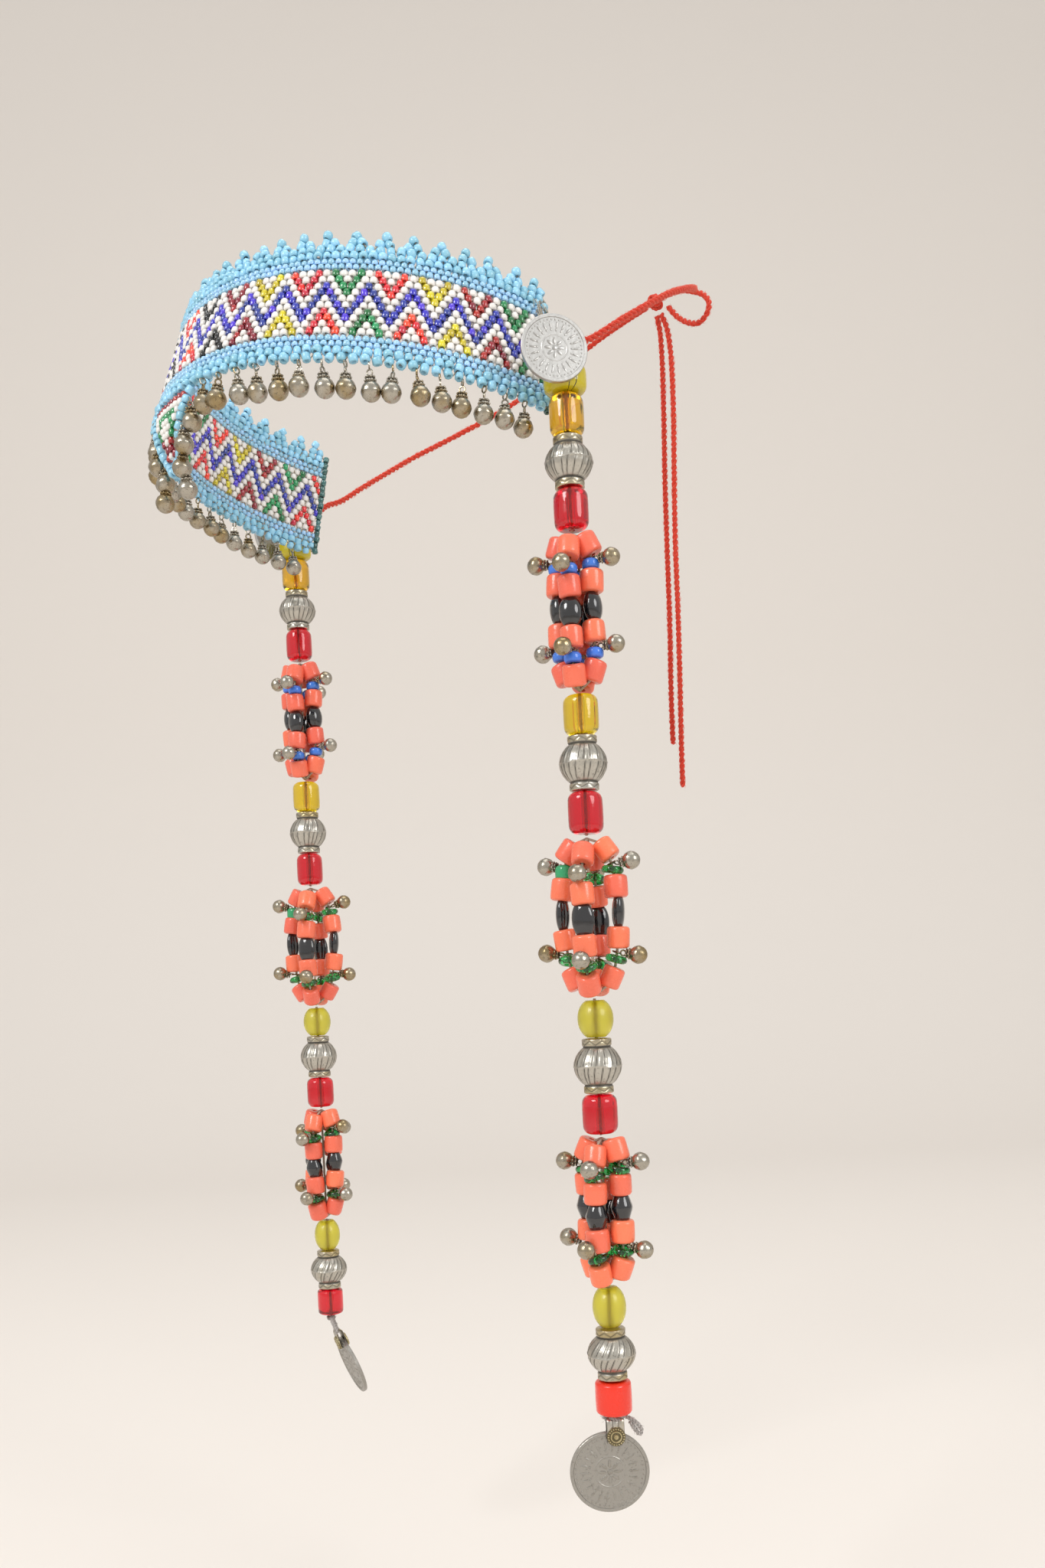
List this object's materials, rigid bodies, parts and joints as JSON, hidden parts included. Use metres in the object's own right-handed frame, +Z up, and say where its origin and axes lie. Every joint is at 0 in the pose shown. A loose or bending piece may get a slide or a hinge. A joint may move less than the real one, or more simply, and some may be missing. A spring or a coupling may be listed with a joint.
{
  "type": "beaded headband",
  "caption": "Netted seed-bead brow band with a bell fringe, a hanging brow tab, a coin at each temple, a long bead strand below each coin and wool cords that tie it behind the head.",
  "frame": {"origin": "the middle of the wearer's head, level with the temple coins' top bead: halfway between the two strands and 1.2 mm ahead of them", "axes": "+Z up, -Y out through the brow, +X to the wearer's left"},
  "size_m": [0.2004, 0.2107, 0.4292],
  "materials": {
    "sky_glass": "opaque light-blue seed beads, glossy, some lustred",
    "white_glass": "opaque white seed beads with a coloured pattern, glossy",
    "silver": "worn silver-coloured metal, tarnished in the hollows",
    "painted_yellow": "opaque olive yellow with thin dark lines, glossy",
    "amber_glass": "clear amber-yellow pressed glass",
    "red_glass": "clear red pressed glass",
    "lime_glass": "frosted lime-yellow glass",
    "coral": "opaque coral-coloured pressed beads, with blue, green and black beads between them",
    "red_wool": "two-ply red wool yarn, fuzzy"
  },
  "bodies": {
    "band": {"lower_border": "sky_glass", "pattern_panel": "white_glass", "upper_border": "sky_glass", "picot_edge": "sky_glass", "tie_left": "red_wool", "tie_right": "red_wool", "tie_knot": "red_wool", "bow_loop": "red_wool", "tail_left": "red_wool", "tail_right": "red_wool"},
    "tab": {"brow_tab": "white_glass", "tab_edging": "sky_glass", "tab_bells_left": "silver", "tab_bells_right": "silver"},
    "fringe_left_brow": {"bells_left_brow": "silver"},
    "fringe_left_middle": {"bells_left_middle": "silver"},
    "fringe_left_temple": {"bells_left_temple": "silver"},
    "fringe_right_brow": {"bells_right_brow": "silver"},
    "fringe_right_middle": {"bells_right_middle": "silver"},
    "fringe_right_temple": {"bells_right_temple": "silver"},
    "strand_top_left": {"temple_coin_left": "silver", "painted_bead_left": "painted_yellow", "amber_barrel_left": "amber_glass", "melon_bead_1_left": "silver", "red_barrel_1_left": "red_glass"},
    "cluster_1_left": {"coral_cluster_1_left": "coral"},
    "strand_upper_left": {"yellow_barrel_left": "amber_glass", "melon_bead_2_left": "silver", "red_barrel_2_left": "red_glass"},
    "cluster_2_left": {"coral_cluster_2_left": "coral"},
    "strand_lower_left": {"olive_bead_1_left": "lime_glass", "melon_bead_3_left": "silver", "red_barrel_3_left": "red_glass"},
    "cluster_3_left": {"coral_cluster_3_left": "coral"},
    "strand_end_left": {"olive_bead_2_left": "lime_glass", "melon_bead_4_left": "silver", "end_bead_left": "coral"},
    "pendant_left": {"pendant_bail_left": "silver", "pendant_coin_left": "silver"},
    "strand_top_right": {"temple_coin_right": "silver", "painted_bead_right": "painted_yellow", "amber_barrel_right": "amber_glass", "melon_bead_1_right": "silver", "red_barrel_1_right": "red_glass"},
    "cluster_1_right": {"coral_cluster_1_right": "coral"},
    "strand_upper_right": {"yellow_barrel_right": "amber_glass", "melon_bead_2_right": "silver", "red_barrel_2_right": "red_glass"},
    "cluster_2_right": {"coral_cluster_2_right": "coral"},
    "strand_lower_right": {"olive_bead_1_right": "lime_glass", "melon_bead_3_right": "silver", "red_barrel_3_right": "red_glass"},
    "cluster_3_right": {"coral_cluster_3_right": "coral"},
    "strand_end_right": {"olive_bead_2_right": "lime_glass", "melon_bead_4_right": "silver", "end_bead_right": "red_glass"},
    "pendant_right": {"pendant_bail_right": "silver", "pendant_coin_right": "silver"}
  },
  "joints": [
    {"name": "tab_swing", "type": "hinge", "parent": "band", "child": "tab", "pos_m": [0, -0.085, -0.0028], "axis": [-1, 0, 0], "range_deg": [0, 35]},
    {"name": "fringe_left_brow_swing", "type": "hinge", "parent": "band", "child": "fringe_left_brow", "pos_m": [0.03349, -0.07512, -0.00528], "axis": [-0.8691, -0.4895, 0.0708], "range_deg": [0, 30]},
    {"name": "fringe_left_middle_swing", "type": "hinge", "parent": "band", "child": "fringe_left_middle", "pos_m": [0.06034, -0.05011, -0.0089], "axis": [-0.5446, -0.83, 0.1201], "range_deg": [0, 30]},
    {"name": "fringe_left_temple_swing", "type": "hinge", "parent": "band", "child": "fringe_left_temple", "pos_m": [0.07309, -0.01901, -0.0134], "axis": [-0.1993, -0.9698, 0.1403], "range_deg": [0, 15]},
    {"name": "fringe_right_brow_swing", "type": "hinge", "parent": "band", "child": "fringe_right_brow", "pos_m": [-0.03349, -0.07512, -0.00528], "axis": [-0.8691, 0.4895, -0.0708], "range_deg": [0, 30]},
    {"name": "fringe_right_middle_swing", "type": "hinge", "parent": "band", "child": "fringe_right_middle", "pos_m": [-0.06034, -0.05011, -0.0089], "axis": [-0.5446, 0.83, -0.1201], "range_deg": [0, 30]},
    {"name": "fringe_right_temple_swing", "type": "hinge", "parent": "band", "child": "fringe_right_temple", "pos_m": [-0.07309, -0.01901, -0.0134], "axis": [-0.1993, 0.9698, -0.1403], "range_deg": [0, 15]},
    {"name": "strand_top_left_swing", "type": "hinge", "parent": "band", "child": "strand_top_left", "pos_m": [0.0863, 0.0012, -0.0054], "axis": [0, -1, 0], "range_deg": [-1, 20]},
    {"name": "cluster_1_left_swing", "type": "hinge", "parent": "strand_top_left", "child": "cluster_1_left", "pos_m": [0.0863, 0.0012, -0.055], "axis": [1, 0, 0], "range_deg": [-12, 12]},
    {"name": "strand_upper_left_swing", "type": "hinge", "parent": "cluster_1_left", "child": "strand_upper_left", "pos_m": [0.0863, 0.0012, -0.1026], "axis": [0, -1, 0], "range_deg": [-4, 12]},
    {"name": "cluster_2_left_swing", "type": "hinge", "parent": "strand_upper_left", "child": "cluster_2_left", "pos_m": [0.0863, 0.0012, -0.1448], "axis": [1, 0, 0], "range_deg": [-12, 12]},
    {"name": "strand_lower_left_swing", "type": "hinge", "parent": "cluster_2_left", "child": "strand_lower_left", "pos_m": [0.0863, 0.0012, -0.1928], "axis": [0, -1, 0], "range_deg": [-4, 12]},
    {"name": "cluster_3_left_swing", "type": "hinge", "parent": "strand_lower_left", "child": "cluster_3_left", "pos_m": [0.0863, 0.0012, -0.2334], "axis": [1, 0, 0], "range_deg": [-12, 12]},
    {"name": "strand_end_left_swing", "type": "hinge", "parent": "cluster_3_left", "child": "strand_end_left", "pos_m": [0.0863, 0.0012, -0.2776], "axis": [0, -1, 0], "range_deg": [-4, 12]},
    {"name": "pendant_left_swing", "type": "hinge", "parent": "strand_end_left", "child": "pendant_left", "pos_m": [0.0863, 0.0012, -0.316], "axis": [1, 0, 0], "range_deg": [-12, 12]},
    {"name": "strand_top_right_swing", "type": "hinge", "parent": "band", "child": "strand_top_right", "pos_m": [-0.0863, 0.0012, -0.0054], "axis": [0, 1, 0], "range_deg": [-1, 20]},
    {"name": "cluster_1_right_swing", "type": "hinge", "parent": "strand_top_right", "child": "cluster_1_right", "pos_m": [-0.0863, 0.0012, -0.055], "axis": [1, 0, 0], "range_deg": [-12, 12]},
    {"name": "strand_upper_right_swing", "type": "hinge", "parent": "cluster_1_right", "child": "strand_upper_right", "pos_m": [-0.0863, 0.0012, -0.1026], "axis": [0, 1, 0], "range_deg": [-4, 12]},
    {"name": "cluster_2_right_swing", "type": "hinge", "parent": "strand_upper_right", "child": "cluster_2_right", "pos_m": [-0.0863, 0.0012, -0.1448], "axis": [1, 0, 0], "range_deg": [-12, 12]},
    {"name": "strand_lower_right_swing", "type": "hinge", "parent": "cluster_2_right", "child": "strand_lower_right", "pos_m": [-0.0863, 0.0012, -0.1928], "axis": [0, 1, 0], "range_deg": [-4, 12]},
    {"name": "cluster_3_right_swing", "type": "hinge", "parent": "strand_lower_right", "child": "cluster_3_right", "pos_m": [-0.0863, 0.0012, -0.2334], "axis": [1, 0, 0], "range_deg": [-12, 12]},
    {"name": "strand_end_right_swing", "type": "hinge", "parent": "cluster_3_right", "child": "strand_end_right", "pos_m": [-0.0863, 0.0012, -0.2776], "axis": [0, 1, 0], "range_deg": [-4, 12]},
    {"name": "pendant_right_swing", "type": "hinge", "parent": "strand_end_right", "child": "pendant_right", "pos_m": [-0.0863, 0.0012, -0.316], "axis": [1, 0, 0], "range_deg": [-12, 12]}
  ]
}
